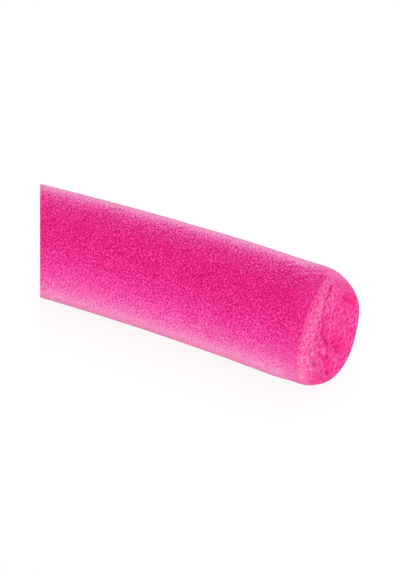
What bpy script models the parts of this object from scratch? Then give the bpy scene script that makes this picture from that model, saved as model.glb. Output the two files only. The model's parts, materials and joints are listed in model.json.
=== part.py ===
"""Solid foam pool noodle, lying in the gentle bow that it keeps.

Metres, +Z up. The origin is on the floor, under the middle of the part's box. +X runs along the
longest extent, towards the front end. The noodle is one flexible foam rod, so it is built in short
lengths, each a foam core in its skin, which turn on upright bending axes along the centreline.
The lengths are numbered from the front end, and the middle one carries the others on both sides.
"""
from math import acos, cos, exp, hypot, pi, radians, sin, sqrt, tan

import bmesh
import bpy
from mathutils import Vector

# Driving dimensions
LENGTH = 1.200                  # cut length, along the centreline
DIAMETER = 0.065                # outside, over the skin
BOW_RADIUS = 1.340              # radius that the centreline lies on
SKIN_THICKNESS = 0.0015         # dense skin round the side
END_SKIN_THICKNESS = 0.0025     # seared skin over each cut end
END_SKIN_SKIRT = 0.001          # how far the end skin runs down the side
CORE_EDGE_TIGHT = 0.0012        # rounding of the core's end edge where it is crispest
CORE_EDGE_SOFT = 0.0112         # rounding of the core's end edge where it is softest
FLOOR_FLAT_DEPTH = 0.0005       # how much the underside is pressed flat by lying on the floor
END_SECTION_LENGTH = 0.050      # first and last lengths, along the centreline
SPAN_LENGTH = 0.046             # about how long the straight runs are that follow the bow
PIECE_GAP = 0.0003              # clearance between pieces that touch on the real object

# Angles; those round the noodle start at the outside of the bow and pass over the top
TIGHT_EDGE_ANGLE = radians(155)  # where the end's edge is crispest
END_LEAN_ANGLE = radians(3.5)    # how far the cut leans back at the top
END_SWING_ANGLE = radians(0.5)   # and at the outside of the bow
BACK_CREASE_TURN = radians(150)  # the back end is creased like the front, turned round by this
SMOOTH_ANGLE = radians(35)

# Counts
SECTION_COUNT = 13
SKIN_SIDES = 44
CORE_SIDES = 36
EDGE_STEPS = 6                  # facets round the end skin's outer edge
INNER_EDGE_STEPS = 3            # facets round the edges inside it

# Shares of the outer radius, unless another size is named
SOCKET_RADIUS_SHARE = 1.5       # from a bending axis to the faces that meet around it
TIGHT_EDGE_SPREAD_SHARE = 2.5   # power by which the crisp edge passes into the soft one
FACE_RING_SHARES = (0.86, 0.72, 0.58, 0.44, 0.30, 0.15)     # of the end's flat middle
CREASE_DEPTH_SHARE = 0.6        # of the end skin's thickness
CREASE_WIDTH_SHARE = 0.085
CREASE_SHARES = (
    (-0.10, 0.80), (-0.31, 0.72), (-0.42, 0.55), (-0.43, 0.35), (-0.39, 0.20),
    (-0.33, 0.03), (-0.20, -0.09), (-0.02, -0.27), (0.22, -0.36),
)
DENT_SHARES = ((0.20, 0.63), (0.35, 0.50), (0.44, 0.41), (0.53, 0.31))

# Sizes that follow from those above
OUTER_RADIUS = DIAMETER / 2
BORE_RADIUS = OUTER_RADIUS - SKIN_THICKNESS
CORE_RADIUS = BORE_RADIUS - PIECE_GAP
AXIS_HEIGHT = OUTER_RADIUS - FLOOR_FLAT_DEPTH
SOCKET_RADIUS = OUTER_RADIUS * SOCKET_RADIUS_SHARE
SOCKET_LIP = sqrt(SOCKET_RADIUS ** 2 - OUTER_RADIUS ** 2)
AXIS_SETBACK = (SOCKET_RADIUS + SOCKET_LIP) / 2
FIRST_AXIS = END_SECTION_LENGTH + AXIS_SETBACK
AXIS_PITCH = (LENGTH - 2 * FIRST_AXIS) / (SECTION_COUNT - 2)
ROOT_SECTION = (SECTION_COUNT + 1) // 2

SKIN_COLOUR = (1.0, 0.035, 0.275, 1.0)
END_SKIN_COLOUR = (1.0, 0.055, 0.310, 1.0)
CORE_COLOUR = (1.0, 0.110, 0.380, 1.0)
SKIN_ROUGHNESS = 0.6
END_SKIN_ROUGHNESS = 0.7
CORE_ROUGHNESS = 0.9


def clear_scene():
    """Removes every object that the file opened with."""
    for old in list(bpy.data.objects):
        bpy.data.objects.remove(old, do_unlink=True)


def make_material(name, colour, roughness):
    """Makes a plain foam finish."""
    material = bpy.data.materials.new(name)
    material.use_nodes = True
    shader = material.node_tree.nodes["Principled BSDF"]
    shader.inputs["Base Color"].default_value = colour
    shader.inputs["Roughness"].default_value = roughness
    shader.inputs["Metallic"].default_value = 0.0
    return material


# Rings of corners

def skin_angles():
    """Angles of the skin's corners: one at the bottom and an even row between the flat's edges."""
    flat_half_angle = acos(AXIS_HEIGHT / OUTER_RADIUS)
    spaces = SKIN_SIDES - 2
    step = (2 * pi - 2 * flat_half_angle) / spaces
    first = flat_half_angle - pi / 2
    return [-pi / 2] + [first + step * index for index in range(spaces + 1)]


def core_angles():
    """Angles of the core's corners, in pairs over and under each other."""
    step = 2 * pi / CORE_SIDES
    return [step * (index + 0.5) for index in range(CORE_SIDES)]


# The cut ends, by their depth behind the end's square plane

def end_lean(side, rise):
    """How far a point of the cut stands back because the cut leans."""
    return side * tan(END_SWING_ANGLE) + rise * tan(END_LEAN_ANGLE)


def core_edge(angle):
    """Rounding of the core's end edge: crisp at one angle and soft over most of the way round."""
    nearness = (0.5 + 0.5 * cos(angle - TIGHT_EDGE_ANGLE)) ** TIGHT_EDGE_SPREAD_SHARE
    return CORE_EDGE_SOFT + (CORE_EDGE_TIGHT - CORE_EDGE_SOFT) * nearness


def edge_point(angle, turn_share, side_offset, end_offset):
    """Depth, side and rise of a point on a rounded end edge, two offsets outside the core's edge.

    turn_share is 0 where the edge leaves the side and 1 where it meets the face.
    """
    rounding = core_edge(angle)
    turn = turn_share * pi / 2
    radius = CORE_RADIUS - rounding + (rounding + side_offset) * cos(turn)
    depth = END_SKIN_THICKNESS + PIECE_GAP + rounding - (rounding + end_offset) * sin(turn)
    side = radius * cos(angle)
    rise = radius * sin(angle)
    return depth + end_lean(side, rise), side, rise


def core_edge_point(angle, turn_share):
    """A point on the core's own end edge."""
    return edge_point(angle, turn_share, 0, 0)


def inner_edge_point(angle, turn_share):
    """A point on the inside of the end skin's edge."""
    return edge_point(angle, turn_share, PIECE_GAP, PIECE_GAP)


def outer_edge_point(angle, turn_share):
    """A point on the outside of the end skin's edge."""
    side_offset = PIECE_GAP + SKIN_THICKNESS
    end_offset = PIECE_GAP + END_SKIN_THICKNESS
    return edge_point(angle, turn_share, side_offset, end_offset)


def face_point(angle, share):
    """A point on the flat middle of the cut end, at a share of the way out to its edge."""
    _, edge_side, edge_rise = outer_edge_point(angle, 1)
    side = edge_side * share
    rise = edge_rise * share
    return end_lean(side, rise), side, rise


def skirt_depth(angle, side, rise):
    """Depth at which the end skin stops and the side's skin starts."""
    depth, edge_side, edge_rise = outer_edge_point(angle, 0)
    square_depth = depth - end_lean(edge_side, edge_rise)
    return square_depth + end_lean(side, rise) + END_SKIN_SKIRT


def distance_to_line(side, rise, line_shares):
    """Distance from a point of the cut to a line that is given in shares of the outer radius."""
    nearest = OUTER_RADIUS
    corners = [(across * OUTER_RADIUS, up * OUTER_RADIUS) for across, up in line_shares]
    for (from_side, from_rise), (to_side, to_rise) in zip(corners, corners[1:]):
        run_side = to_side - from_side
        run_rise = to_rise - from_rise
        along = (side - from_side) * run_side + (rise - from_rise) * run_rise
        along_share = min(1, max(0, along / (run_side ** 2 + run_rise ** 2)))
        miss_side = side - from_side - run_side * along_share
        miss_rise = rise - from_rise - run_rise * along_share
        nearest = min(nearest, hypot(miss_side, miss_rise))
    return nearest


def crease_depth(side, rise, turn):
    """Depth of the folds that searing drew into the end skin, with their pattern turned round."""
    turned_side = side * cos(turn) + rise * sin(turn)
    turned_rise = rise * cos(turn) - side * sin(turn)
    deepest = END_SKIN_THICKNESS * CREASE_DEPTH_SHARE
    width = OUTER_RADIUS * CREASE_WIDTH_SHARE
    fold = 0
    for line_shares in (CREASE_SHARES, DENT_SHARES):
        distance = distance_to_line(turned_side, turned_rise, line_shares)
        fold = max(fold, exp(-(distance / width) ** 2))
    return deepest * fold


# The bow

def bowed(station, side, rise, centre_y):
    """Carries a point of the straight noodle onto the bow.

    station runs from the front end along the centreline, side points out of the bow, and rise
    is the height over the centreline.
    """
    angle = (LENGTH / 2 - station) / BOW_RADIUS
    reach = BOW_RADIUS + side
    return Vector((reach * sin(angle), centre_y + reach * cos(angle), AXIS_HEIGHT + rise))


def find_centre_y():
    """Where the bow's centre lies in y so that the part's box is even about the origin."""
    end_points = [
        bowed(*outer_edge_point(angle, step / EDGE_STEPS), 0)
        for angle in skin_angles()
        for step in range(EDGE_STEPS + 1)
    ]
    lowest = min(point.y for point in end_points)
    return -(lowest + BOW_RADIUS + OUTER_RADIUS) / 2


CENTRE_Y = find_centre_y()


def place(station, side, rise):
    """A point of the noodle in the part's frame."""
    return bowed(station, side, rise, CENTRE_Y)


def place_outside(station, side, rise):
    """A point of the outer skin in the part's frame, never under the floor."""
    return place(station, side, max(rise, -AXIS_HEIGHT))


# Seams and bending axes; a seam has the number of the length in front of it

def carrying_section(seam):
    """The length at a seam that lies nearer the middle and carries the other."""
    return seam + 1 if seam < ROOT_SECTION else seam


def outward_sign(seam):
    """Which way along the stations leads from the middle to the seam."""
    return -1 if seam < ROOT_SECTION else 1


def axis_station(seam):
    """Station of the bending axis that a seam slides round; the axes are evenly spaced."""
    return FIRST_AXIS + (seam - 1) * AXIS_PITCH


def seam_station(seam, section, side):
    """Station of one length's face at a seam, at one distance out of the bow.

    The face is part of an upright cylinder round the bending axis. The carrying length has the
    bulging face, and the length that turns has the hollow face a clearance further out.
    """
    reach = SOCKET_RADIUS
    if section != carrying_section(seam):
        reach += PIECE_GAP
    wall = BOW_RADIUS + side
    cosine = (BOW_RADIUS ** 2 + wall ** 2 - reach ** 2) / (2 * BOW_RADIUS * wall)
    return axis_station(seam) + outward_sign(seam) * BOW_RADIUS * acos(cosine)


def section_axis(section):
    """The point that a length turns about, or the middle of the length that carries all."""
    if section < ROOT_SECTION:
        return place(axis_station(section), 0, 0)
    if section > ROOT_SECTION:
        return place(axis_station(section - 1), 0, 0)
    return place(LENGTH / 2, 0, 0)


def span_count(section):
    """How many straight runs follow the bow in one length."""
    front = 0
    back = LENGTH
    if section > 1:
        front = seam_station(section - 1, section, 0)
    if section < SECTION_COUNT:
        back = seam_station(section, section, 0)
    return max(1, round((back - front) / SPAN_LENGTH))


def wall_ring(section, angles, radius, share, end_depth):
    """Stations, sides and rises of a ring at a share of the way from a length's front to its back.

    end_depth gives the depth behind a cut end at which the first and last walls start.
    """
    ring = []
    for angle in angles:
        side = radius * cos(angle)
        rise = radius * sin(angle)
        front = end_depth(angle, side, rise)
        back = LENGTH - front
        if section > 1:
            front = seam_station(section - 1, section, side)
        if section < SECTION_COUNT:
            back = seam_station(section, section, side)
        ring.append((front + (back - front) * share, side, rise))
    return ring


# Meshes

def add_ring(mesh, points, origin):
    """Adds a ring of corners, measured from the object's origin."""
    return [mesh.verts.new(point - origin) for point in points]


def join_rings(mesh, first, second):
    """Fills the band between two rings with the same number of corners."""
    for index, corner in enumerate(first):
        following = (index + 1) % len(first)
        mesh.faces.new((corner, first[following], second[following], second[index]))


def join_all_rings(mesh, rings):
    """Fills the bands between each ring and the next."""
    for first, second in zip(rings, rings[1:]):
        join_rings(mesh, first, second)


def close_with_strips(mesh, ring):
    """Closes a core's curved seam face with upright strips between its paired corners."""
    last = len(ring) - 1
    for index in range(len(ring) // 2 - 1):
        mesh.faces.new((ring[index], ring[index + 1], ring[last - index - 1], ring[last - index]))


def close_with_fan(mesh, ring, centre):
    """Closes a ring with triangles to one corner."""
    for index, corner in enumerate(ring):
        following = (index + 1) % len(ring)
        mesh.faces.new((corner, ring[following], centre))


def finish_object(name, mesh, material, axis):
    """Turns a closed mesh, measured from its bending axis, into a named object that hangs on it."""
    bmesh.ops.recalc_face_normals(mesh, faces=mesh.faces)
    data = bpy.data.meshes.new(name)
    mesh.to_mesh(data)
    mesh.free()
    data.materials.append(material)
    data.shade_smooth()
    data.set_sharp_from_angle(angle=SMOOTH_ANGLE)
    piece = bpy.data.objects.new(name, data)
    piece.parent = axis
    bpy.context.collection.objects.link(piece)
    return piece


# Pieces

def build_core(section, material, axis):
    """The foam core of one length, rounded where it ends in a cut end."""
    origin = section_axis(section)
    angles = core_angles()
    mesh = bmesh.new()

    def end_depth(angle, side, rise):
        return core_edge_point(angle, 0)[0]

    spans = span_count(section)
    rings = []
    for span in range(spans + 1):
        ring = wall_ring(section, angles, CORE_RADIUS, span / spans, end_depth)
        rings.append(add_ring(mesh, [place(*corner) for corner in ring], origin))
    edge_rings = []
    for step in range(1, INNER_EDGE_STEPS + 1):
        edge = [core_edge_point(angle, step / INNER_EDGE_STEPS) for angle in angles]
        if section == 1:
            points = [place(*corner) for corner in edge]
            edge_rings.insert(0, add_ring(mesh, points, origin))
        elif section == SECTION_COUNT:
            points = [place(LENGTH - depth, side, rise) for depth, side, rise in edge]
            edge_rings.append(add_ring(mesh, points, origin))
    rings = edge_rings + rings if section == 1 else rings + edge_rings
    join_all_rings(mesh, rings)
    for ring in (rings[0], rings[-1]):
        close_with_strips(mesh, ring)
    return finish_object(f"foam_core_{section:02d}", mesh, material, axis)


def build_side_skin(section, material, axis):
    """The dense skin round one length, open at both ends."""
    origin = section_axis(section)
    angles = skin_angles()
    mesh = bmesh.new()

    def end_depth(angle, side, rise):
        return skirt_depth(angle, side, rise) + PIECE_GAP

    spans = span_count(section)
    outside = []
    inside = []
    for span in range(spans + 1):
        outer = wall_ring(section, angles, OUTER_RADIUS, span / spans, end_depth)
        inner = wall_ring(section, angles, BORE_RADIUS, span / spans, end_depth)
        outside.append(add_ring(mesh, [place_outside(*corner) for corner in outer], origin))
        inside.append(add_ring(mesh, [place(*corner) for corner in inner], origin))
    join_all_rings(mesh, outside + inside[::-1] + outside[:1])
    return finish_object(f"outer_skin_{section:02d}", mesh, material, axis)


def build_end_skin(name, section, crease_turn, material, axis):
    """The seared skin over a cut end, with its rounded edge, short skirt and drawn-in folds."""
    origin = section_axis(section)
    angles = skin_angles()
    mesh = bmesh.new()

    def set_at_end(depth, side, rise):
        return place(depth if section == 1 else LENGTH - depth, side, rise)

    def folded(depth, side, rise):
        outer_rise = max(rise, -AXIS_HEIGHT)
        return set_at_end(depth + crease_depth(side, rise, crease_turn), side, outer_rise)

    def skirt_ring(radius, lowest):
        corners = []
        for angle in angles:
            side = radius * cos(angle)
            rise = radius * sin(angle)
            depth = skirt_depth(angle, side, rise)
            corners.append(set_at_end(depth, side, max(rise, lowest)))
        return corners

    outside = [add_ring(mesh, skirt_ring(OUTER_RADIUS, -AXIS_HEIGHT), origin)]
    for step in range(EDGE_STEPS + 1):
        edge = [outer_edge_point(angle, step / EDGE_STEPS) for angle in angles]
        outside.append(add_ring(mesh, [folded(*corner) for corner in edge], origin))
    for share in FACE_RING_SHARES:
        face = [face_point(angle, share) for angle in angles]
        outside.append(add_ring(mesh, [folded(*corner) for corner in face], origin))
    inside = [add_ring(mesh, skirt_ring(BORE_RADIUS, -BORE_RADIUS), origin)]
    for step in range(INNER_EDGE_STEPS + 1):
        edge = [inner_edge_point(angle, step / INNER_EDGE_STEPS) for angle in angles]
        inside.append(add_ring(mesh, [set_at_end(*corner) for corner in edge], origin))
    join_all_rings(mesh, inside[::-1] + outside)
    close_with_fan(mesh, outside[-1], mesh.verts.new(folded(0, 0, 0) - origin))
    mesh.faces.new(inside[-1])
    return finish_object(name, mesh, material, axis)


def build_bending_axes():
    """One empty for each length, on its bending axis, each hanging on the next one inwards."""
    axes = {}
    for section in sorted(range(1, SECTION_COUNT + 1), key=lambda item: abs(item - ROOT_SECTION)):
        name = "noodle_middle" if section == ROOT_SECTION else f"bending_axis_{section:02d}"
        axis = bpy.data.objects.new(name, None)
        axis.location = section_axis(section)
        if section != ROOT_SECTION:
            carrier = section + 1 if section < ROOT_SECTION else section - 1
            axis.parent = axes[carrier]
            axis.location = section_axis(section) - section_axis(carrier)
        bpy.context.collection.objects.link(axis)
        axes[section] = axis
    return axes


def build_noodle():
    """Builds every length of the noodle and the skins over its two cut ends."""
    core_foam = make_material("foam_core", CORE_COLOUR, CORE_ROUGHNESS)
    side_foam = make_material("outer_skin", SKIN_COLOUR, SKIN_ROUGHNESS)
    seared_foam = make_material("end_skin", END_SKIN_COLOUR, END_SKIN_ROUGHNESS)
    axes = build_bending_axes()
    for section in range(1, SECTION_COUNT + 1):
        build_core(section, core_foam, axes[section])
        build_side_skin(section, side_foam, axes[section])
    build_end_skin("end_skin_front", 1, 0, seared_foam, axes[1])
    build_end_skin("end_skin_back", SECTION_COUNT, BACK_CREASE_TURN, seared_foam, axes[SECTION_COUNT])


clear_scene()
build_noodle()
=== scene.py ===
"""Dresses the solid foam pool noodle.

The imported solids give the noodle's place, its thickness and the axes that it bends on. Over them
goes a finely meshed foam surface, one piece to each bending axis and one to each cut end, with a
grained skin and seared ends. It lies on a white floor in soft light, seen from where the
photograph was taken. Lengths are in metres unless a name ends in _mm or _px.
"""
import json
import logging
import math
from dataclasses import dataclass, field
from enum import Enum

import bpy
import numpy as np
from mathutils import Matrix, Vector, noise

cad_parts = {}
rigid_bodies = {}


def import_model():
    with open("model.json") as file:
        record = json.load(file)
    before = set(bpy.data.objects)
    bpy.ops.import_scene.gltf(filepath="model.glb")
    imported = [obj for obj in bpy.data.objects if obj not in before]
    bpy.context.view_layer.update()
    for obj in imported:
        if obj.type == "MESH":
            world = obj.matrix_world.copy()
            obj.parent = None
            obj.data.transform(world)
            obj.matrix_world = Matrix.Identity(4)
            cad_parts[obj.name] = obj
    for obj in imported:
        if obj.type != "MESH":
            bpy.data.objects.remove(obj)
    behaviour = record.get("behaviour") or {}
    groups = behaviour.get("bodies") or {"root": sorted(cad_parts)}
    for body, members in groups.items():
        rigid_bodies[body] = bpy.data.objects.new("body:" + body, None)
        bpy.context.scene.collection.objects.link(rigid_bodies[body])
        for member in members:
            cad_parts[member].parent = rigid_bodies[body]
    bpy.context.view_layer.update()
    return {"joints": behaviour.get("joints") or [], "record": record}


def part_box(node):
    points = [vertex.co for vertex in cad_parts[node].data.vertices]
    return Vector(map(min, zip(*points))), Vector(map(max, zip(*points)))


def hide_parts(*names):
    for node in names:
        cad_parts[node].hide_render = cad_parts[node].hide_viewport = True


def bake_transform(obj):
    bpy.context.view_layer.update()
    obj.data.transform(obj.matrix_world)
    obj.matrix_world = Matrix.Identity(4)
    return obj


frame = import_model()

LOG = logging.getLogger("pool_noodle")

MM = 0.001
DEGREES_ROUND = 360
FULL_TURN = 2 * math.pi
QUARTER_TURN = math.pi / 2

CUT_LENGTH = 1.200              # of the noodle, along its centreline
END_MARGIN = 0.030              # how much of each end belongs to the cut ends
BACK_TURN = 150                 # degrees that the back end's folds are turned round

# The sRGB curve: a straight toe, and a power over it
SRGB_TOE = 0.04045
SRGB_TOE_SLOPE = 12.92
SRGB_OFFSET = 0.055
SRGB_POWER = 2.4
FULL_CHANNEL = 255

# Values that each point of the foam carries for its finish
PLACE_MARK = "foam_place"       # where the point was in the straight, even noodle
SEARED_MARK = "foam_seared"     # 0 on the extruded side, 1 where the hot cut melted it
RIM_MARK = "foam_rim"           # 1 on the rounded rim, which is paler
CREASE_SHADE_MARK = "foam_crease"     # 1 in the bottom of a crease, where its colour is painted shade
HOLLOW_MARK = "foam_hollow"     # 1 in the bottom of a hollow

# Sockets of Blender's colour mixing node, which has one set for each kind of value
MIX_FACTOR = 0
MIX_FLOATS = (2, 3)
MIX_COLOURS = (6, 7)
MIX_FLOAT_OUT = 0
MIX_COLOUR_OUT = 2


class End(Enum):
    """The noodle's two cut ends."""

    FRONT = "front"
    BACK = "back"


# Small tools

def linear_colour(hex_colour: str) -> tuple[float, float, float, float]:
    """Turns an sRGB colour into Blender's linear one.

    Args:
        hex_colour: The colour as "#RRGGBB".

    Returns:
        Red, green, blue and an alpha of 1.
    """
    channels = [int(hex_colour[start:start + 2], 16) / FULL_CHANNEL for start in (1, 3, 5)]
    linear = [
        value / SRGB_TOE_SLOPE if value <= SRGB_TOE
        else ((value + SRGB_OFFSET) / (1 + SRGB_OFFSET)) ** SRGB_POWER
        for value in channels
    ]
    return (*linear, 1.0)


def cleared_tree(owner: bpy.types.Material | bpy.types.World) -> bpy.types.NodeTree:
    """Makes room for a material's or a world's own nodes.

    Args:
        owner: The material or the world.

    Returns:
        Its node tree, with nothing in it.
    """
    owner.use_nodes = True
    owner.node_tree.nodes.clear()
    return owner.node_tree


def add_node(
    tree: bpy.types.NodeTree,
    kind: str,
    settings: dict[str, object] | None = None,
    inputs: dict[str | int, object] | None = None,
) -> bpy.types.Node:
    """Adds a node with its settings and links.

    Args:
        tree: The tree that it goes into.
        kind: The node's Blender type.
        settings: The node's own properties.
        inputs: What each input socket holds: a value, or the output socket that feeds it.

    Returns:
        The new node.
    """
    node = tree.nodes.new(kind)
    for name, value in (settings or {}).items():
        setattr(node, name, value)
    for name, value in (inputs or {}).items():
        if isinstance(value, bpy.types.NodeSocket):
            tree.links.new(value, node.inputs[name])
        else:
            node.inputs[name].default_value = value
    return node


def add_object(name: str, data: bpy.types.ID) -> bpy.types.Object:
    """Puts a mesh, a lamp or a camera in the scene.

    Args:
        name: The object's name.
        data: What it shows.

    Returns:
        The new object.
    """
    thing = bpy.data.objects.new(name, data)
    bpy.context.collection.objects.link(thing)
    return thing


def eased(share: np.ndarray) -> np.ndarray:
    """Lets shares of a way start and stop gently, and keeps them from 0 to 1."""
    kept = np.clip(share, 0, 1)
    return kept * kept * (3 - 2 * kept)


def faded(past: np.ndarray, reach: float) -> np.ndarray:
    """What is left of a mark that fades past a place, and is mostly gone at the reach."""
    return np.exp(-(np.maximum(past, 0) / reach) ** 2)


def dented(heights: np.ndarray, easing: float) -> np.ndarray:
    """Depths of the dents where an uneven surface keeps only those, each starting gently."""
    return (np.hypot(heights, easing) - heights) / 2


def direction_of(azimuth: float, elevation: float) -> Vector:
    """The way from the noodle to a lamp.

    Args:
        azimuth: Degrees round from the hollow side of the bow, rising towards the front end.
        elevation: Degrees over the floor.

    Returns:
        A unit vector.
    """
    turn = math.radians(azimuth)
    lift = math.radians(elevation)
    return Vector((
        math.sin(turn) * math.cos(lift),
        -math.cos(turn) * math.cos(lift),
        math.sin(lift),
    ))


# The noodle's line

@dataclass(frozen=True)
class Bow:
    """The arc that the noodle's centreline lies on."""

    centre: tuple[float, float]
    radius: float
    height: float
    length: float

    @classmethod
    def through_joints(cls, joints: list[dict], length: float) -> "Bow":
        """Finds the arc from three of the bending axes on it.

        Args:
            joints: The frame's joints.
            length: The noodle's length along the centreline.

        Returns:
            The bow.
        """
        places = sorted(joint["pos_m"] for joint in joints)
        first, middle, last = (np.array(places[index]) for index in (0, len(places) // 2, -1))
        runs = 2 * np.array([middle[:2] - first[:2], last[:2] - first[:2]])
        sums = [end[:2] @ end[:2] - first[:2] @ first[:2] for end in (middle, last)]
        centre = np.linalg.solve(runs, sums)
        radius = np.linalg.norm(first[:2] - centre)
        return cls(tuple(centre), float(radius), float(first[2]), length)

    def place(self, rest: np.ndarray) -> np.ndarray:
        """Carries points of the straight noodle onto the bow.

        Args:
            rest: Points as station from the front end, side out of the bow, and rise.

        Returns:
            The points in the frame.
        """
        angle = (self.length / 2 - rest[..., 0]) / self.radius
        reach = self.radius + rest[..., 1]
        across = self.centre[0] + reach * np.sin(angle)
        along = self.centre[1] + reach * np.cos(angle)
        return np.stack((across, along, self.height + rest[..., 2]), axis=-1)

    def point(self, station: float) -> Vector:
        """The centreline's point at a station."""
        return Vector(self.place(np.array([station, 0.0, 0.0])))

    def station(self, point: list[float]) -> float:
        """The station that a point in the frame lies at."""
        angle = math.atan2(point[0] - self.centre[0], point[1] - self.centre[1])
        return self.length / 2 - angle * self.radius

    def ways_at_front(self) -> tuple[Vector, Vector, Vector]:
        """The ways at the front end that the camera's place is given in.

        Returns:
            Unit vectors ahead out of the cut, out of the bow, and up.
        """
        angle = self.length / 2 / self.radius
        ahead = Vector((math.cos(angle), -math.sin(angle), 0))
        side = Vector((math.sin(angle), math.cos(angle), 0))
        return ahead, side, Vector((0, 0, 1))


@dataclass(frozen=True)
class Relief:
    """Unevenness of a foamed surface, as layers of smooth noise."""

    layers_mm: tuple[tuple[float, float], ...]      # wavelength and height of each layer

    def heights(self, rest: np.ndarray) -> np.ndarray:
        """How far the surface stands out at each point.

        Args:
            rest: Points in the straight noodle.

        Returns:
            The heights, in the points' layout.
        """
        points = rest.reshape(-1, 3)
        total = np.zeros(len(points))
        for wavelength, height in self.layers_mm:
            scaled = (points / (wavelength * MM)).tolist()
            total += height * MM * np.array([noise.noise(point) for point in scaled])
        return total.reshape(rest.shape[:-1])


# Meshes

def outward_normals(points: np.ndarray) -> np.ndarray:
    """Normals of a surface made of closed rings.

    Args:
        points: Rings of points in the frame, by rising station, each from the side over the top.

    Returns:
        A unit vector for each point, facing out.
    """
    along = np.gradient(points, axis=0)
    around = np.roll(points, -1, axis=1) - np.roll(points, 1, axis=1)
    normals = np.cross(along, around)
    return normals / np.linalg.norm(normals, axis=-1, keepdims=True)


@dataclass
class RingSurface:
    """A closed piece of foam made of rings of points."""

    rest: np.ndarray                # where each point was in the straight, even noodle
    shown: np.ndarray               # where it is in the frame
    normals: np.ndarray
    marks: dict[str, np.ndarray] = field(default_factory=dict)

    def cut(self, first: int, last: int) -> "RingSurface":
        """Takes a part of the surface.

        Args:
            first: Its first ring.
            last: Its last ring, which is included.

        Returns:
            The part, with its marks and normals.
        """
        kept = slice(first, last + 1)
        marks = {name: values[kept] for name, values in self.marks.items()}
        return RingSurface(self.rest[kept], self.shown[kept], self.normals[kept], marks)

    def make_object(self, name: str) -> bpy.types.Object:
        """Makes the piece as a mesh with flat caps, smooth in between.

        Neighbouring pieces share their normals, so that no seam shows where they meet.

        Args:
            name: The piece's name.

        Returns:
            The new object.
        """
        rings, columns = self.shown.shape[:2]
        corners = np.arange(rings * columns).reshape(rings, columns)
        following = np.roll(corners, -1, axis=1)
        quads = np.stack((corners[:-1], corners[1:], following[1:], following[:-1]), axis=-1)
        quads = quads.reshape(-1, 4)
        caps = [corners[0].tolist(), corners[-1][::-1].tolist()]
        mesh = bpy.data.meshes.new(name)
        mesh.from_pydata(self.shown.reshape(-1, 3).tolist(), [], quads.tolist() + caps)
        mesh.polygons.foreach_set("use_smooth", [True] * len(quads) + [False] * len(caps))
        side_normals = self.normals.reshape(-1, 3)[quads.ravel()]
        cap_normals = np.zeros((len(caps) * columns, 3))
        mesh.normals_split_custom_set(np.concatenate((side_normals, cap_normals)).tolist())
        place = mesh.attributes.new(PLACE_MARK, "FLOAT_VECTOR", "POINT")
        place.data.foreach_set("vector", self.rest.astype(np.float32).ravel())
        for mark, values in self.marks.items():
            attribute = mesh.attributes.new(mark, "FLOAT", "POINT")
            attribute.data.foreach_set("value", values.astype(np.float32).ravel())
        return add_object(name, mesh)


# Finishes

@dataclass(frozen=True)
class Looks:
    """What the pattern nodes of a finish hand to its shader."""

    colour: bpy.types.NodeSocket
    height: bpy.types.NodeSocket
    painted_sheen_full_gamma: bpy.types.NodeSocket | float      # the colour's gamma where the painted sheen is full


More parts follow.
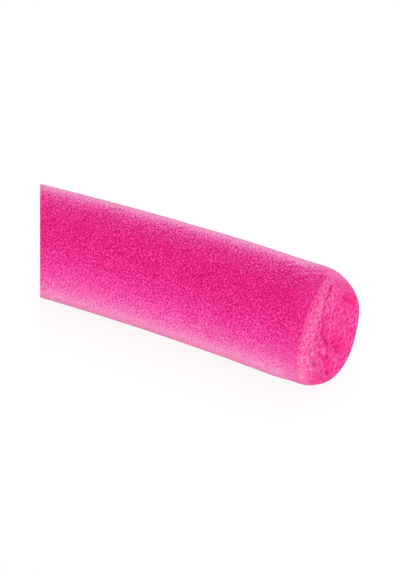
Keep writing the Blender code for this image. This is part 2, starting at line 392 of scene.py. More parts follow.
@dataclass(frozen=True)
class ExtrudedFoam:
    """Closed-cell polyethylene foam as it left the extruder.

    The eye sees burst and flattened cells as a fine wrinkled grain with dark pits, mottled a
    little darker and lighter. A painted sheen washes the colour paler where the matt skin turns
    away; its normal is tilted down, so it is broad on the noodle's lower side and narrow on its
    upper one, and crests that face up catch it sooner, as a painted highlight.
    """

    name: str = "polyethylene_foam_extruded"
    valley: str = "#CC0466"
    crest: str = "#F23899"
    pit: str = "#A00244"
    grain_mm: float = 0.95          # burst cells are 0.5 to 1 mm across
    grain_stretch: float = 1.15     # and flattened a little, round the noodle
    grain_turn: float = 100.0       # degrees from the noodle's length to their longer way
    grain_waviness: float = 0.35
    grain_layers: float = 0.0       # finer layers of grain on it; a pixel would not show them
    grain_height_mm: float = 0.22
    grain_range: tuple[float, float] = (0.25, 0.75)     # the noise in a valley and on a crest
    grain_power: float = 1.4        # how much narrower the bright crests are than the valleys
    round_mm: float = 32.5          # the radius that the grain is rolled up on
    mottle_mm: float = 7.0          # across the patches where the melt cooled unevenly
    mottle_layers: float = 1.5
    mottle_range: tuple[float, float] = (0.3, 0.7)      # the noise in the darkest and palest
    mottle_share: float = 0.25      # how much weaker or stronger they make the grain
    pit_mm: float = 1.5             # from one burst pit to the next
    pit_range: tuple[float, float] = (0.12, 0.36)       # from its bottom to its brim, of pit_mm
    pit_share: float = 0.6          # how far its bottom takes its colour
    roughness: float = 0.62
    specular: float = 0.03
    sheen: float = 0.05
    sheen_roughness: float = 0.42
    sheen_tint: str = "#FFE4F4"
    painted_sheen_gamma: float = 0.29       # the painted sheen washes the colour out by this gamma
    painted_sheen_range: tuple[float, float] = (0.19, 0.88)     # of the turn away from the eye
    painted_sheen_tint: str = "#FFFFF2"     # and warms it this much
    painted_sheen_catch: float = 0.36       # how much sooner crests catch the painted sheen than valleys, facing up: a painted highlight
    painted_sheen_least_catch: float = 0.07     # and facing down
    painted_sheen_level: float = 0.28       # the height between the two
    painted_sheen_tilt: float = 0.44         # how far the painted sheen's normal tilts down for each 1 straight out

    def make(self) -> bpy.types.Material:
        """Makes the finish.

        Returns:
            The material.
        """
        material = bpy.data.materials.new(self.name)
        tree = cleared_tree(material)
        looks = self.looks(tree)
        bump = add_node(tree, "ShaderNodeBump", inputs={
            "Distance": self.grain_height_mm * MM,
            "Height": looks.height,
        })
        shader = add_node(tree, "ShaderNodeBsdfPrincipled", inputs={
            "Base Color": self.painted_sheen_colour(tree, looks),
            "Roughness": self.roughness,
            "Specular IOR Level": self.specular,
            "Sheen Weight": self.sheen,
            "Sheen Roughness": self.sheen_roughness,
            "Sheen Tint": linear_colour(self.sheen_tint),
            "Normal": bump.outputs["Normal"],
        })
        add_node(tree, "ShaderNodeOutputMaterial", inputs={"Surface": shader.outputs["BSDF"]})
        return material

    def painted_sheen_colour(self, tree: bpy.types.NodeTree, looks: Looks) -> bpy.types.NodeSocket:
        """Adds the painted sheen, which is paler the further a normal tilted down turns away.

        Args:
            tree: The material's nodes.
            looks: The finish without its painted sheen.

        Returns:
            The colour with its painted sheen.
        """
        # Painted sheen: the colour washes paler as a normal tilted down turns away, sooner on
        # upward crests
        geometry = add_node(tree, "ShaderNodeNewGeometry")
        leaning = add_node(tree, "ShaderNodeVectorMath", {"operation": "ADD"}, {
            0: geometry.outputs["Normal"],
            1: (0.0, 0.0, -self.painted_sheen_tilt),
        })
        sheen_normal = add_node(tree, "ShaderNodeVectorMath", {"operation": "NORMALIZE"}, {
            0: leaning.outputs["Vector"],
        })
        turned = add_node(tree, "ShaderNodeLayerWeight", inputs={
            "Normal": sheen_normal.outputs["Vector"],
        })
        standing = add_node(tree, "ShaderNodeMath", {"operation": "SUBTRACT"}, {
            0: looks.height,
            1: self.painted_sheen_level,
        })
        upward = add_node(tree, "ShaderNodeVectorMath", {"operation": "DOT_PRODUCT"}, {
            0: geometry.outputs["Normal"],
            1: (0.0, 0.0, self.painted_sheen_catch),
        })
        sooner = add_node(tree, "ShaderNodeMath", {"operation": "MAXIMUM"}, {
            0: upward.outputs["Value"],
            1: self.painted_sheen_least_catch,
        })
        caught = add_node(tree, "ShaderNodeMath", {"operation": "MULTIPLY_ADD"}, {
            0: standing.outputs["Value"],
            1: sooner.outputs["Value"],
            2: turned.outputs["Facing"],
        })
        painted_sheen_share = add_node(tree, "ShaderNodeMapRange", inputs={
            "Value": caught.outputs["Value"],
            "From Min": self.painted_sheen_range[0],
            "From Max": self.painted_sheen_range[1],
        })
        gamma = add_node(tree, "ShaderNodeMix", inputs={
            MIX_FACTOR: painted_sheen_share.outputs["Result"],
            MIX_FLOATS[0]: 1.0,
            MIX_FLOATS[1]: looks.painted_sheen_full_gamma,
        })
        sheen_washed = add_node(tree, "ShaderNodeGamma", inputs={
            "Color": looks.colour,
            "Gamma": gamma.outputs[MIX_FLOAT_OUT],
        })
        tinted = add_node(tree, "ShaderNodeMix", {"data_type": "RGBA", "blend_type": "MULTIPLY"}, {
            MIX_FACTOR: painted_sheen_share.outputs["Result"],
            MIX_COLOURS[0]: sheen_washed.outputs["Color"],
            MIX_COLOURS[1]: linear_colour(self.painted_sheen_tint),
        })
        return tinted.outputs[MIX_COLOUR_OUT]

    def unrolled(
        self, tree: bpy.types.NodeTree, place: bpy.types.NodeSocket
    ) -> bpy.types.NodeSocket:
        """Unrolls the round of the noodle for patterns that follow it; the join is underneath.

        Args:
            tree: The material's nodes.
            place: Where each point was in the straight noodle.

        Returns:
            Places as station, way round from the top, and height over the round.
        """
        parts = add_node(tree, "ShaderNodeSeparateXYZ", inputs={"Vector": place})
        angle = add_node(tree, "ShaderNodeMath", {"operation": "ARCTAN2"}, {
            0: parts.outputs["Y"],
            1: parts.outputs["Z"],
        })
        way_round = add_node(tree, "ShaderNodeMath", {"operation": "MULTIPLY"}, {
            0: angle.outputs["Value"],
            1: self.round_mm * MM,
        })
        spoke = add_node(tree, "ShaderNodeCombineXYZ", inputs={
            "Y": parts.outputs["Y"],
            "Z": parts.outputs["Z"],
        })
        distance = add_node(tree, "ShaderNodeVectorMath", {"operation": "LENGTH"}, {
            0: spoke.outputs["Vector"],
        })
        height = add_node(tree, "ShaderNodeMath", {"operation": "SUBTRACT"}, {
            0: distance.outputs["Value"],
            1: self.round_mm * MM,
        })
        flat = add_node(tree, "ShaderNodeCombineXYZ", inputs={
            "X": parts.outputs["X"],
            "Y": way_round.outputs["Value"],
            "Z": height.outputs["Value"],
        })
        return flat.outputs["Vector"]

    def drawn_out(
        self,
        tree: bpy.types.NodeTree,
        place: bpy.types.NodeSocket,
        size_mm: float,
        turn: tuple[float, float, float],
        stretch: tuple[float, float, float],
    ) -> bpy.types.NodeSocket:
        """Turns and stretches the straight noodle's places for a pattern.

        Args:
            tree: The material's nodes.
            place: Where each point was in the straight noodle.
            size_mm: What one step of the pattern measures.
            turn: How the pattern is turned, as Euler angles.
            stretch: How many times longer it is along each of its own axes.

        Returns:
            The places in the pattern's own steps.
        """
        own_axes = add_node(tree, "ShaderNodeMapping", {"vector_type": "TEXTURE"}, {
            "Vector": place,
            "Rotation": turn,
            "Scale": tuple(size_mm * MM * times for times in stretch),
        })
        return own_axes.outputs["Vector"]

    def strokes(
        self,
        tree: bpy.types.NodeTree,
        places: bpy.types.NodeSocket,
        layers: float,
        span: tuple[float, float],
        power: float,
    ) -> bpy.types.NodeSocket:
        """Adds a pattern of small wavy cells or strokes.

        Args:
            tree: The material's nodes.
            places: Places in the pattern's own steps.
            layers: How many finer layers lie on the first.
            span: The noise's values at the bottom of a valley and on top of a crest.
            power: How much narrower the crests are than the valleys.

        Returns:
            A value of 0 in the valleys and 1 on the crests.
        """
        cells = add_node(tree, "ShaderNodeTexNoise", inputs={
            "Vector": places,
            "Scale": 1.0,
            "Detail": layers,
            "Distortion": self.grain_waviness,
        })
        even = add_node(tree, "ShaderNodeMapRange", inputs={
            "Value": cells.outputs["Fac"],
            "From Min": span[0],
            "From Max": span[1],
        })
        narrowed = add_node(tree, "ShaderNodeMath", {"operation": "POWER"}, {
            0: even.outputs["Result"],
            1: power,
        })
        return narrowed.outputs["Value"]

    def looks(self, tree: bpy.types.NodeTree) -> Looks:
        """Adds the grain, the mottling and the pits.

        Args:
            tree: The material's nodes.

        Returns:
            The skin's colour, height and the gamma of its painted sheen.
        """
        place = add_node(tree, "ShaderNodeAttribute", {"attribute_name": PLACE_MARK})
        flat = self.unrolled(tree, place.outputs["Vector"])
        turn = (0.0, 0.0, math.radians(self.grain_turn))
        stretch = (self.grain_stretch, 1.0, 1.0)
        cells_apart = self.drawn_out(tree, flat, self.grain_mm, turn, stretch)
        wrinkle = self.strokes(
            tree, cells_apart, self.grain_layers, self.grain_range, self.grain_power
        )
        mottle = add_node(tree, "ShaderNodeTexNoise", inputs={
            "Vector": place.outputs["Vector"],
            "Scale": 1 / (self.mottle_mm * MM),
            "Detail": self.mottle_layers,
        })
        cells = add_node(tree, "ShaderNodeTexVoronoi", inputs={
            "Vector": self.drawn_out(tree, flat, self.pit_mm, turn, stretch),
            "Scale": 1.0,
        })
        pit = add_node(tree, "ShaderNodeMapRange", {"interpolation_type": "SMOOTHSTEP"}, {
            "Value": cells.outputs["Distance"],
            "From Min": self.pit_range[0],
            "From Max": self.pit_range[1],
            "To Min": self.pit_share,
            "To Max": 0.0,
        })
        patch = add_node(tree, "ShaderNodeMapRange", inputs={
            "Value": mottle.outputs["Fac"],
            "From Min": self.mottle_range[0],
            "From Max": self.mottle_range[1],
            "To Min": 1 - self.mottle_share,
            "To Max": 1 + self.mottle_share,
        })
        tone = add_node(tree, "ShaderNodeMath", {"operation": "MULTIPLY"}, {
            0: wrinkle,
            1: patch.outputs["Result"],
        })
        skin = add_node(tree, "ShaderNodeMix", {"data_type": "RGBA"}, {
            MIX_FACTOR: tone.outputs["Value"],
            MIX_COLOURS[0]: linear_colour(self.valley),
            MIX_COLOURS[1]: linear_colour(self.crest),
        })
        pitted = add_node(tree, "ShaderNodeMix", {"data_type": "RGBA"}, {
            MIX_FACTOR: pit.outputs["Result"],
            MIX_COLOURS[0]: skin.outputs[MIX_COLOUR_OUT],
            MIX_COLOURS[1]: linear_colour(self.pit),
        })
        height = add_node(tree, "ShaderNodeMath", {"operation": "SUBTRACT"}, {
            0: wrinkle,
            1: pit.outputs["Result"],
        })
        return Looks(pitted.outputs[MIX_COLOUR_OUT], height.outputs["Value"], self.painted_sheen_gamma)


@dataclass(frozen=True)
class SearedFoam(ExtrudedFoam):
    """The same foam where a hot blade cut and melted it.

    The eye sees the drag of the blade as fine parallel streaks, a smoother, paler rim, hollows of
    a deep even pink where the melt ran together, and thin creases, darkened by painted shade as
    well as by their depth.
    """

    name: str = "polyethylene_foam_hot_cut"
    streak_valley: str = "#DE0070"
    streak_crest: str = "#FF68C8"
    rim: str = "#FFAADC"
    rim_share: float = 0.18         # how pale the rim is in its valleys
    rim_catch: float = 1.1          # and how much paler on its crests
    hollow: str = "#F20C7A"
    # painted shade: this colour darkens the creases on top of their shallow depth
    crease: str = "#C00060"
    seared_painted_sheen_gamma: float = 0.9       # the painted sheen's gamma on the cut, where it is weak: melted cells scatter less
    streak_mm: float = 0.66         # a blade's marks are finer; these are as coarse as show
    streak_stretch: float = 3.2
    streak_turn: float = 34.0       # degrees over the floor, towards the outside of the bow
    streak_layers: float = 1.0      # finer streaks on them
    streak_range: tuple[float, float] = (0.33, 0.67)
    streak_power: float = 2.0

    def looks(self, tree: bpy.types.NodeTree) -> Looks:
        """Adds the streaks, the rim, the hollows and the creases to the extruded skin's pattern.

        Args:
            tree: The material's nodes.

        Returns:
            The end's colour, height and the gamma of its painted sheen.
        """
        side = super().looks(tree)
        place, seared, rim, hollow, crease = (
            add_node(tree, "ShaderNodeAttribute", {"attribute_name": mark})
            for mark in (PLACE_MARK, SEARED_MARK, RIM_MARK, HOLLOW_MARK, CREASE_SHADE_MARK)
        )
        turn = (math.radians(self.streak_turn), 0.0, 0.0)
        stretch = (1.0, self.streak_stretch, 1.0)
        streaks_apart = self.drawn_out(
            tree, place.outputs["Vector"], self.streak_mm, turn, stretch
        )
        streak = self.strokes(
            tree, streaks_apart, self.streak_layers, self.streak_range, self.streak_power
        )
        face = add_node(tree, "ShaderNodeMix", {"data_type": "RGBA"}, {
            MIX_FACTOR: streak,
            MIX_COLOURS[0]: linear_colour(self.streak_valley),
            MIX_COLOURS[1]: linear_colour(self.streak_crest),
        })
        caught = add_node(tree, "ShaderNodeMath", {"operation": "MULTIPLY_ADD"}, {
            0: streak,
            1: self.rim_catch,
            2: self.rim_share,
        })
        paleness = add_node(tree, "ShaderNodeMath", {"operation": "MULTIPLY"}, {
            0: rim.outputs["Fac"],
            1: caught.outputs["Value"],
        })
        marked = face
        # The rim's paleness, the hollows' deep pink and the creases' painted shade, one over the
        # other
        for share, hex_colour in (
            (paleness.outputs["Value"], self.rim),
            (hollow.outputs["Fac"], self.hollow),
            (crease.outputs["Fac"], self.crease),
        ):
            marked = add_node(tree, "ShaderNodeMix", {"data_type": "RGBA"}, {
                MIX_FACTOR: share,
                MIX_COLOURS[0]: marked.outputs[MIX_COLOUR_OUT],
                MIX_COLOURS[1]: linear_colour(hex_colour),
            })
        colour = add_node(tree, "ShaderNodeMix", {"data_type": "RGBA"}, {
            MIX_FACTOR: seared.outputs["Fac"],
            MIX_COLOURS[0]: side.colour,
            MIX_COLOURS[1]: marked.outputs[MIX_COLOUR_OUT],
        })
        height, gamma = (
            add_node(tree, "ShaderNodeMix", inputs={
                MIX_FACTOR: seared.outputs["Fac"],
                MIX_FLOATS[0]: extruded,
                MIX_FLOATS[1]: melted,
            })
            for extruded, melted in (
                (side.height, streak),
                (side.painted_sheen_full_gamma, self.seared_painted_sheen_gamma),
            )
        )
        return Looks(
            colour.outputs[MIX_COLOUR_OUT],
            height.outputs[MIX_FLOAT_OUT],
            gamma.outputs[MIX_FLOAT_OUT],
        )


# The noodle

@dataclass(frozen=True)
class Bend:
    """One bending axis, with the bodies in front of it and behind it."""

    station: float
    ahead: str
    behind: str


@dataclass
class FoamSide:
    """The extruded side of the noodle, one piece to each bending axis."""

    bow: Bow
    radius: float
    bends: list[Bend]
    end_margin: float = END_MARGIN
    row_spacing: float = 0.0015     # from one ring of points to the next
    columns: int = 160              # points in each ring
    relief: Relief = Relief(((38.0, 0.50), (9.0, 0.26), (3.2, 0.26)))
    dent_easing_mm: float = 0.08    # how gently a dent starts
    finish: ExtrudedFoam = ExtrudedFoam()
    pieces: list[bpy.types.Object] = field(default_factory=list)

    def even_rings(self, stations: np.ndarray) -> np.ndarray:
        """Rings of the straight, even noodle, each from the side over the top.

        Args:
            stations: Where along the noodle each ring is.

        Returns:
            Rings of points as station, side and rise.
        """
        angles = np.arange(self.columns) * FULL_TURN / self.columns
        rest = np.empty((len(stations), self.columns, 3))
        rest[..., 0] = stations[:, None]
        rest[..., 1] = self.radius * np.cos(angles)
        rest[..., 2] = self.radius * np.sin(angles)
        return rest

    def uneven(self, rest: np.ndarray, shown: np.ndarray) -> np.ndarray:
        """Dents a surface, inside its full round, and keeps it over the floor.

        Args:
            rest: The points in the straight noodle.
            shown: The points in the frame.

        Returns:
            The uneven surface's points in the frame.
        """
        dents = dented(self.relief.heights(rest), self.dent_easing_mm * MM)
        worn = shown - outward_normals(shown) * dents[..., None]
        worn[..., 2] = np.maximum(worn[..., 2], 0)
        return worn

    def borders(self) -> list[float]:
        """Finds where one piece ends and the next starts: midway between the bending axes.

        Returns:
            Stations, from the front cut end's border to the back one's.
        """
        stations = [bend.station for bend in self.bends]
        inner = [(one + other) / 2 for one, other in zip(stations, stations[1:])]
        return [self.end_margin, *inner, self.bow.length - self.end_margin]

    def build(self) -> None:
        """Makes the pieces, one to each bending axis."""
        borders = self.borders()
        # One ring more at either end gives the border's own rings their right normals
        rows = [np.array([borders[0] - self.row_spacing])]
        cuts = [1]
        for start, stop in zip(borders, borders[1:]):
            count = round((stop - start) / self.row_spacing)
            rows.append(np.linspace(start, stop, count, endpoint=False))
            cuts.append(cuts[-1] + count)
        rows.append(np.array([borders[-1], borders[-1] + self.row_spacing]))
        rest = self.even_rings(np.concatenate(rows))
        shown = self.uneven(rest, self.bow.place(rest))
        whole = RingSurface(rest, shown, outward_normals(shown))
        for number, (bend, first, last) in enumerate(zip(self.bends, cuts, cuts[1:]), start=1):
            piece = whole.cut(first, last).make_object(f"foam_side_{number:02d}")
            self.let_over(piece, bend)
            self.pieces.append(piece)

    def let_over(self, piece: bpy.types.Object, bend: Bend) -> None:
        """Works out a piece's reach over an axis, halfway to the axes on either side, and bakes
        its place into its mesh; the piece does not bend.

        Args:
            piece: The piece of foam.
            bend: The axis.
        """
        reach = (self.bends[1].station - self.bends[0].station) / 2
        start = self.bow.point(bend.station - reach)
        stop = self.bow.point(bend.station + reach)
        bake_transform(piece)

    def dress(self) -> None:
        """Gives the pieces their finish and hides the CAD nodes that they stand for."""
        material = self.finish.make()
        bodies = frame["record"]["behaviour"]["bodies"]
        covered: set[str] = set()
        for piece, bend in zip(self.pieces, self.bends):
            piece.data.materials.append(material)
            nodes = [
                node
                for body in (bend.ahead, bend.behind)
                for node in bodies[body]
                if not node.startswith("end_skin") and node not in covered
            ]
            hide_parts(*nodes)
            covered.update(nodes)
            LOG.info("%s bends between %s and %s", piece.name, bend.ahead, bend.behind)


@dataclass(frozen=True)
class Fold:
    """A crease or a hollow that searing drew into the foam, on the cut's side and rise."""

    points_mm: tuple[tuple[float, float], ...]
    depth_mm: float = 0.30
    width_mm: float = 0.92
    shade: float = 1.0              # how far its bottom takes the folds' colour

    def distances(self, side: np.ndarray, rise: np.ndarray) -> np.ndarray:
        """How far points of the cut are from the line.

        Args:
            side: The points' distances out of the bow.
            rise: Their heights over the centreline.

        Returns:
            The distances.
        """
        nearest = np.full(side.shape, np.inf)
        corners = np.array(self.points_mm) * MM
        for start, stop in zip(corners, corners[1:]):
            run = stop - start
            along = ((side - start[0]) * run[0] + (rise - start[1]) * run[1]) / (run @ run)
            share = np.clip(along, 0, 1)
            miss_side = side - start[0] - run[0] * share
            miss_rise = rise - start[1] - run[1] * share
            nearest = np.minimum(nearest, np.hypot(miss_side, miss_rise))
        return nearest


@dataclass
class CutEnd:
    """One hot-cut end, with its rounded edge and the folds that it drew into."""

    end: End
    side: FoamSide
    bend: Bend
    node: str
    pattern_turn: float = 0.0       # degrees that the folds are turned round
    columns: int = 420              # points in each ring
    straight_rings: int = 16        # rings along the side, before the rounding
    edge_rings: int = 48            # round the edge
    face_rings: int = 52            # and over the face of the cut
    centre_share: float = 0.02      # what the face leaves to the middle cap, of its width
    # How far the edge is rounded, inwards and back, by degrees round from the outside of the bow
    edge_turns: tuple[float, ...] = (-120, -90, -60, -15, 20, 58, 90, 110, 150, 185, 215)
    edge_widths_mm: tuple[float, ...] = (9.5, 10.3, 14, 16.5, 11, 15, 6, 4, 3, 4, 7)
    edge_depths_mm: tuple[float, ...] = (13, 12, 14.5, 17, 12, 16, 7, 5, 4, 5, 9)
    # and how full the rounding is: 2 where it is a true round, less where it is nearer a bevel
    edge_fullness: tuple[float, ...] = (1.7, 1.7, 1.8, 2, 1.6, 1.3, 1.6, 2, 2, 2, 1.7)
    edge_easing: float = 12.0       # degrees over which one rounding passes into the next
    # Thinning of the foam before the rounding, at the same turns
    edge_taper_mm: tuple[float, ...] = (1.3, 0.8, 0, 0, 0, 0, 0, 0, 0, 0, 0.8)
    # The pale rim on the way round the edge, where 1 is the whole way: its brightest line and how
    # soon that fades, then how much of its paleness the flank beside it keeps, and how soon that
    # fades
    rim_start: float = 0.26
    rim_fade: float = 0.30
    flank_share: float = 0.35
    flank_fade: float = 0.22
    # Where on the way round the edge the searing and the folds set in, and over how much of it
    sear_start: float = 0.1
    sear_reach: float = 0.6
    # How much of the searing reaches the side before the rounding, and over which last part of it
    heated_share: float = 0.3
    heated_part: float = 0.6
    crisp_edge_mm: float = 4.0      # an edge of up to this width gets the full pale rim
    soft_edge_mm: float = 8.0       # and one of this width has none
    lean: float = 3.5               # degrees that the cut leans back at the top
    swing: float = 0.5              # and at the outside of the bow
    creases: tuple[Fold, ...] = (
        Fold(((-2.7, 30.1), (-5.9, 28.8)), depth_mm=0.5, width_mm=0.6),
        Fold(((-6.8, 26.3), (-9.3, 25.9), (-11.6, 24.9))),
        Fold(((-8.3, 23.9), (-9.4, 23.2)), width_mm=0.4),
        Fold(((-11.5, 21.5), (-12.8, 20.3)), width_mm=0.7),
        Fold(((-19.3, 21.3), (-20.3, 20.1)), width_mm=0.4, shade=0.7),
        Fold(((-14.0, 16.8), (-13.1, 11.6), (-13.8, 8.7), (-16.1, 7.9)), width_mm=0.5),
        Fold(((-16.1, 15.2), (-17.8, 13.2), (-19.1, 11.7)), width_mm=0.6, shade=0.5),
        Fold(((-12.0, 4.4), (-11.1, 1.7), (-8.9, -2.4)), depth_mm=0.6),
        Fold(((-5.8, -2.3), (-4.0, -2.4))),
        Fold(((-4.9, -4.7), (-2.5, -6.3), (0.8, -7.4)), width_mm=0.6),
        Fold(((-1.7, -8.3), (-0.5, -10.1)), width_mm=0.7),
        Fold(((4.0, -4.1), (1.7, -4.6))),
        Fold(((-24.3, -5.4), (-21.5, -8.5)), shade=0.8),
        Fold(((-25.3, 3.0), (-27.0, 1.1)), shade=0.5),
        Fold(((6.2, 20.0), (8.1, 17.2), (11.0, 16.0)), depth_mm=0.5, width_mm=0.5, shade=0.7),
        Fold(((-11.5, -7.9), (-9.9, -8.8))),
        Fold(((-11.2, -17.3), (-10.1, -18.9))),
        Fold(((-16.9, -18.6), (-16.6, -20.0)), shade=0.7),
    )
    hollows: tuple[Fold, ...] = (
        Fold(((-5.0, 27.8), (-11.0, 23.0), (-13.8, 14.0), (-12.5, 4.0), (-8.0, -3.0)),
             depth_mm=0.3, width_mm=2.6, shade=0.2),
        Fold(((7.5, 18.5), (12.6, 14.7), (16.0, 11.5)), depth_mm=0.5, width_mm=3.2, shade=0.8),
        Fold(((-4.0, -1.5), (0.8, -7.9), (4.1, -9.5)), depth_mm=0.3, width_mm=4.4, shade=0.7),
        Fold(((-12.3, -10.2), (-10.8, -16.5)), depth_mm=0.2, width_mm=4.0, shade=0.7),
    )
    sway: Relief = Relief(((2.6, 0.45),))       # how the folds' lines wander
    finish: SearedFoam = SearedFoam()
    piece: bpy.types.Object | None = None

    def around_edge(self, values: tuple[float, ...]) -> np.ndarray:
        """Spreads values given at the edge's turns over all its columns.

        Args:
            values: One value for each of the edge's turns.

        Returns:
            A value for each column, changing gently from one to the next.
        """
        turns = np.arange(self.columns) * DEGREES_ROUND / self.columns
        straight = np.interp(turns, self.edge_turns, values, period=DEGREES_ROUND)
        reach = round(self.columns * self.edge_easing / DEGREES_ROUND)
        return np.mean([np.roll(straight, shift) for shift in range(-reach, reach + 1)], axis=0)

    def even_surface(self) -> tuple[np.ndarray, np.ndarray]:
        """The end before it folded.

        Returns:
            Rings of points as depth behind the cut, side and rise, from the side to the middle
            of the cut; and each ring's progress, which rises from -1 to 0 along the side, to 1
            round the edge and to 2 over the face.
        """
        angles = np.arange(self.columns) * FULL_TURN / self.columns
        width = self.around_edge(self.edge_widths_mm) * MM
        depth = self.around_edge(self.edge_depths_mm) * MM
        bend = 2 / self.around_edge(self.edge_fullness)
        taper = self.around_edge(self.edge_taper_mm) * MM
        radius = self.side.radius - taper
        margin = self.side.end_margin
        swing = math.tan(math.radians(self.swing))
        lean = math.tan(math.radians(self.lean))
        rings = []
        progress = []

        def add_ring(
            reach: np.ndarray, square_depth: np.ndarray, leaning: float, step: float
        ) -> None:
            """Adds a ring.

            Args:
                reach: Each point's distance from the centreline.
                square_depth: How far behind a square cut each point is.
                leaning: How much of the cut's lean the ring has.
                step: The ring's progress.
            """
            across = reach * np.cos(angles)
            up = reach * np.sin(angles)
            leant = square_depth + (across * swing + up * lean) * leaning
            rings.append(np.stack((leant, across, up), axis=-1))
            progress.append(step)

        # The first ring is a spare one, which gives the next its right normals
        for share in np.linspace(-1 / self.straight_rings, 1, self.straight_rings + 2)[:-1]:
            reach = radius + taper * (1 - eased(share))
            add_ring(reach, margin + (depth - margin) * share, max(share, 0), share - 1)
        for share in np.linspace(0, 1, self.edge_rings + 1):
            turn = share * QUARTER_TURN
            reach = radius - width * (1 - max(math.cos(turn), 0) ** bend)
            add_ring(reach, depth * (1 - math.sin(turn) ** bend), 1, share)
        for share in np.linspace(1, self.centre_share, self.face_rings + 1)[1:]:
            add_ring((radius - width) * share, np.zeros(self.columns), 1, 2 - share)
        return np.array(rings), np.array(progress)

    def folded_depths(self, rest: np.ndarray) -> tuple[np.ndarray, dict[str, np.ndarray]]:
        """How far the hollows and the creases draw each point in.

        Args:
            rest: Points as depth, side and rise.

        Returns:
            The depths, and for each kind of fold how much each point lies in the bottom of one.
        """
        turn = math.radians(self.pattern_turn)
        side = rest[..., 1] * math.cos(turn) + rest[..., 2] * math.sin(turn)
        rise = rest[..., 2] * math.cos(turn) - rest[..., 1] * math.sin(turn)
        side = side + self.sway.heights(rest)
        rise = rise + self.sway.heights(rest[..., ::-1])
        drawn = np.zeros(side.shape)
        bottoms = {}
        for mark, folds in ((HOLLOW_MARK, self.hollows), (CREASE_SHADE_MARK, self.creases)):
            bottom = np.zeros(side.shape)
            for fold in folds:
                closeness = np.exp(-(fold.distances(side, rise) / (fold.width_mm * MM)) ** 2)
                drawn += fold.depth_mm * MM * closeness
                bottom = np.maximum(bottom, fold.shade * closeness)
            bottoms[mark] = bottom
        return drawn, bottoms

    def searing(self, progress: np.ndarray, over_edge: np.ndarray) -> dict[str, np.ndarray]:
        """How the cut's heat left each point.

        Args:
            progress: Each ring's progress, as even_surface gives it.
            over_edge: How fully each point was cut.

        Returns:
            The finish's values for the searing and for the pale rim.
        """
        widths = self.around_edge(self.edge_widths_mm)
        between = self.soft_edge_mm - self.crisp_edge_mm
        crispness = eased((self.soft_edge_mm - widths) / between)
        risen = eased(progress / self.rim_start)
        line = risen * faded(progress - self.rim_start, self.rim_fade)
        flank = self.flank_share * risen * faded(progress - 1, self.flank_fade)
        heated = self.heated_share * eased(1 + progress / self.heated_part)
        return {
            SEARED_MARK: np.maximum(over_edge, heated[:, None]),
            RIM_MARK: np.maximum(line, flank)[:, None] * crispness,
        }

    def build(self) -> None:
        """Makes the piece, by the noodle's last bending axis."""
        rest, progress = self.even_surface()
        drawn, bottoms = self.folded_depths(rest)
        cut = eased((progress - self.sear_start) / self.sear_reach)
        over_edge = np.repeat(cut[:, None], self.columns, axis=1)
        drawn = drawn * over_edge
        if self.end is End.BACK:
            rest[..., 0] = self.side.bow.length - rest[..., 0]
        moved = rest.copy()
        moved[..., 0] += drawn if self.end is End.FRONT else -drawn
        marks = self.searing(progress, over_edge)
        marks.update({mark: bottom * over_edge for mark, bottom in bottoms.items()})
        if self.end is End.FRONT:
            rest = rest[::-1]
            moved = moved[::-1]
            marks = {name: values[::-1] for name, values in marks.items()}
        shown = self.side.uneven(rest, self.side.bow.place(moved))
        whole = RingSurface(rest, shown, outward_normals(shown), marks)
        last = len(rest) - 1
        kept = whole.cut(0, last - 1) if self.end is End.FRONT else whole.cut(1, last)
        self.piece = kept.make_object(f"seared_end_{self.end.value}")
        self.side.let_over(self.piece, self.bend)

    def dress(self, material: bpy.types.Material) -> None:
        """Gives the piece its finish and hides the CAD node that it stands for.

        Args:
            material: The seared foam, which both ends share.
        """
        self.piece.data.materials.append(material)
        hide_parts(self.node)
        LOG.info("%s bends between %s and %s", self.piece.name, self.bend.ahead, self.bend.behind)


# The studio

@dataclass(frozen=True)
class Lamp:
    """One big soft lamp, far enough away to light the whole noodle alike."""

    name: str
    azimuth: float
    elevation: float
    level: float                    # brightness of a white card that faces it
    softness: float                 # degrees across
    away: float = 2.0               # its distance, which makes no difference to its light

    def build(self) -> None:
        """Makes the lamp."""
        light = bpy.data.lights.new(self.name, "SUN")
        light.energy = self.level * math.pi
        light.angle = math.radians(self.softness)
        lamp = add_object(self.name, light)
        way = direction_of(self.azimuth, self.elevation)
        lamp.rotation_euler = (-way).to_track_quat("-Z", "Y").to_euler()
        lamp.location = way * self.away


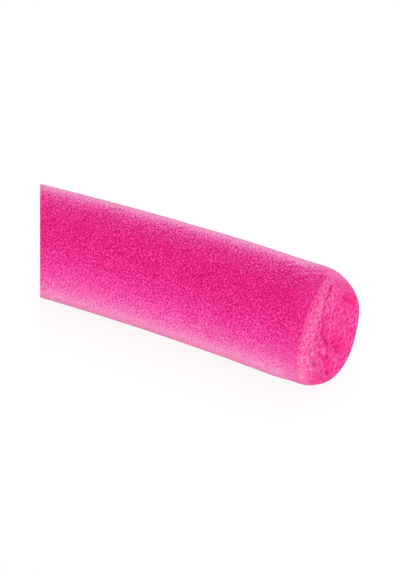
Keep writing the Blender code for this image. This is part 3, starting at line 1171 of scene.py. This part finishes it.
@dataclass
class Studio:
    """The white floor, the lamps, the world and the camera."""

    bow: Bow
    floor_size: float = 12.0
    floor_drop: float = 0.0002      # the floor lies this far under the noodle
    floor_glow: float = 0.88        # the floor's white as the camera sees it: its own part
    floor_shade: str = "#6C6C6C"    # and the part that takes the shadow
    floor_paper: str = "#F6F6F6"    # its colour as the noodle sees it
    white: str = "#FFFFFF"
    white_level: float = 1.0        # a strength that shows as white
    fill_level: float = 0.73        # brightness of a white card in the fill light alone
    lamps: tuple[Lamp, ...] = (
        Lamp("front_softbox", azimuth=18, elevation=8, level=0.66, softness=50),
        Lamp("back_softbox", azimuth=172, elevation=60, level=0.22, softness=60),
    )
    # Where the photograph was taken from, fitted to the noodle's outlines in it: from the middle
    # of the front end, ahead out of the cut, out of the bow, and up
    stand: tuple[float, float, float] = (0.3586, -0.5894, 0.4103)
    heading: float = 127.378        # degrees round from straight ahead towards the side
    dip: float = 28.986             # degrees that the camera looks down
    focal_px: float = 1510.8
    picture_px: tuple[int, int] = (400, 570)
    film_mm: float = 36.0           # the longer side of the film, as Blender measures lenses
    nearest: float = 0.001          # the lens shows things from this far
    margin_px: float = 40.0         # width of the page's white margin, which cuts the noodle off
    margin_overlap_px: float = 20.0
    margin_distance: float = 0.002  # so near the lens that no other view shows it

    def build(self) -> None:
        """Makes the whole studio."""
        for lamp in self.lamps:
            lamp.build()
        self.build_world()
        self.build_floor()
        self.build_camera()

    def seen_directly(self, tree: bpy.types.NodeTree) -> bpy.types.NodeSocket:
        """Adds the test for rays from the camera, straight or by way of gloss or glass.

        Args:
            tree: The material's or the world's nodes.

        Returns:
            A value of 1 for such rays and 0 for others.
        """
        path = add_node(tree, "ShaderNodeLightPath")
        seen = path.outputs["Is Camera Ray"]
        for ray in ("Is Glossy Ray", "Is Transmission Ray"):
            either = add_node(tree, "ShaderNodeMath", {"operation": "MAXIMUM"}, {
                0: seen,
                1: path.outputs[ray],
            })
            seen = either.outputs["Value"]
        return seen

    def build_world(self) -> None:
        """Makes the world: even fill light that looks white."""
        world = bpy.data.worlds.new("white_surround")
        tree = cleared_tree(world)
        level = add_node(tree, "ShaderNodeMix", inputs={
            MIX_FACTOR: self.seen_directly(tree),
            MIX_FLOATS[0]: self.fill_level,
            MIX_FLOATS[1]: self.white_level,
        })
        surround = add_node(tree, "ShaderNodeBackground", inputs={
            "Color": linear_colour(self.white),
            "Strength": level.outputs[MIX_FLOAT_OUT],
        })
        add_node(tree, "ShaderNodeOutputWorld", inputs={
            "Surface": surround.outputs["Background"],
        })
        bpy.context.scene.world = world

    def build_floor(self) -> None:
        """Makes the floor: matt white paper without gloss or grain, where only shadow shows."""
        half = self.floor_size / 2
        corners = [(-half, -half, 0), (half, -half, 0), (half, half, 0), (-half, half, 0)]
        mesh = bpy.data.meshes.new("paper_floor")
        mesh.from_pydata(corners, [], [(0, 1, 2, 3)])
        floor = add_object("paper_floor", mesh)
        floor.location.z = -self.floor_drop
        material = bpy.data.materials.new("matt_white_paper")
        tree = cleared_tree(material)
        paper, shaded = (
            add_node(tree, "ShaderNodeBsdfDiffuse", inputs={"Color": linear_colour(colour)})
            for colour in (self.floor_paper, self.floor_shade)
        )
        glow = add_node(tree, "ShaderNodeEmission", inputs={"Strength": self.floor_glow})
        page = add_node(tree, "ShaderNodeAddShader", inputs={
            0: shaded.outputs["BSDF"],
            1: glow.outputs["Emission"],
        })
        surface = add_node(tree, "ShaderNodeMixShader", inputs={
            0: self.seen_directly(tree),
            1: paper.outputs["BSDF"],
            2: page.outputs["Shader"],
        })
        add_node(tree, "ShaderNodeOutputMaterial", inputs={"Surface": surface.outputs["Shader"]})
        mesh.materials.append(material)

    def build_camera(self) -> None:
        """Makes the camera, and the page's margin that cuts its picture off on the left."""
        ahead, side, up = self.bow.ways_at_front()
        stand = self.bow.point(0)
        for way, distance in zip((ahead, side, up), self.stand):
            stand += way * distance
        heading = math.radians(self.heading)
        dip = math.radians(self.dip)
        level_look = ahead * math.cos(heading) + side * math.sin(heading)
        look = level_look * math.cos(dip) - up * math.sin(dip)
        data = bpy.data.cameras.new("photo_camera")
        data.sensor_width = self.film_mm
        data.lens = self.film_mm * self.focal_px / max(self.picture_px)
        data.clip_start = self.nearest
        camera = add_object("photo_camera", data)
        camera.location = stand
        camera.rotation_euler = look.to_track_quat("-Z", "Y").to_euler()
        bpy.context.scene.camera = camera
        self.build_margin(stand, look)

    def build_margin(self, stand: Vector, look: Vector) -> None:
        """Makes the white card that stands at the lens for the page's left margin.

        Args:
            stand: The camera's place.
            look: The way that it looks.
        """
        right = look.cross(Vector((0, 0, 1))).normalized()
        upward = right.cross(look)
        width, height = self.picture_px
        edges = (-self.margin_overlap_px - width / 2, self.margin_px - width / 2)
        ends = (-self.margin_overlap_px - height / 2, self.margin_overlap_px + height / 2)
        scale = self.margin_distance / self.focal_px
        middle = stand + look * self.margin_distance
        corners = [
            middle + right * (edges[across] * scale) + upward * (ends[lift] * scale)
            for across, lift in ((0, 0), (1, 0), (1, 1), (0, 1))
        ]
        mesh = bpy.data.meshes.new("page_margin")
        mesh.from_pydata(corners, [], [(0, 1, 2, 3)])
        card = add_object("page_margin", mesh)
        material = bpy.data.materials.new("lit_white_card")
        tree = cleared_tree(material)
        glow = add_node(tree, "ShaderNodeEmission", inputs={"Strength": self.white_level})
        add_node(tree, "ShaderNodeOutputMaterial", inputs={"Surface": glow.outputs["Emission"]})
        mesh.materials.append(material)
        card.visible_diffuse = False
        card.visible_glossy = False
        card.visible_shadow = False


def find_bends(bow: Bow, joints: list[dict]) -> list[Bend]:
    """Sorts the joints along the noodle.

    Args:
        bow: The noodle's line.
        joints: The frame's joints.

    Returns:
        The bending axes from the front end to the back.
    """
    bends = []
    for joint in joints:
        station = bow.station(joint["pos_m"])
        bodies = (joint["child"], joint["parent"])
        if station > bow.length / 2:
            bodies = bodies[::-1]
        bends.append(Bend(station, *bodies))
    return sorted(bends, key=lambda bend: bend.station)


def main() -> None:
    """Builds and dresses the noodle and its studio."""
    logging.basicConfig(level=logging.INFO, format="%(message)s")
    bow = Bow.through_joints(frame["joints"], CUT_LENGTH)
    _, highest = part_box("outer_skin_07")
    bends = find_bends(bow, frame["joints"])
    side = FoamSide(bow, radius=highest.z - bow.height, bends=bends)
    side.build()
    side.dress()
    ends = [
        CutEnd(End.FRONT, side, bends[0], "end_skin_front"),
        CutEnd(End.BACK, side, bends[-1], "end_skin_back", pattern_turn=BACK_TURN),
    ]
    seared = ends[0].finish.make()
    for end in ends:
        end.build()
        end.dress(seared)
    Studio(bow).build()
    bpy.context.scene.view_settings.view_transform = "Standard"


if __name__ == "__main__":
    main()
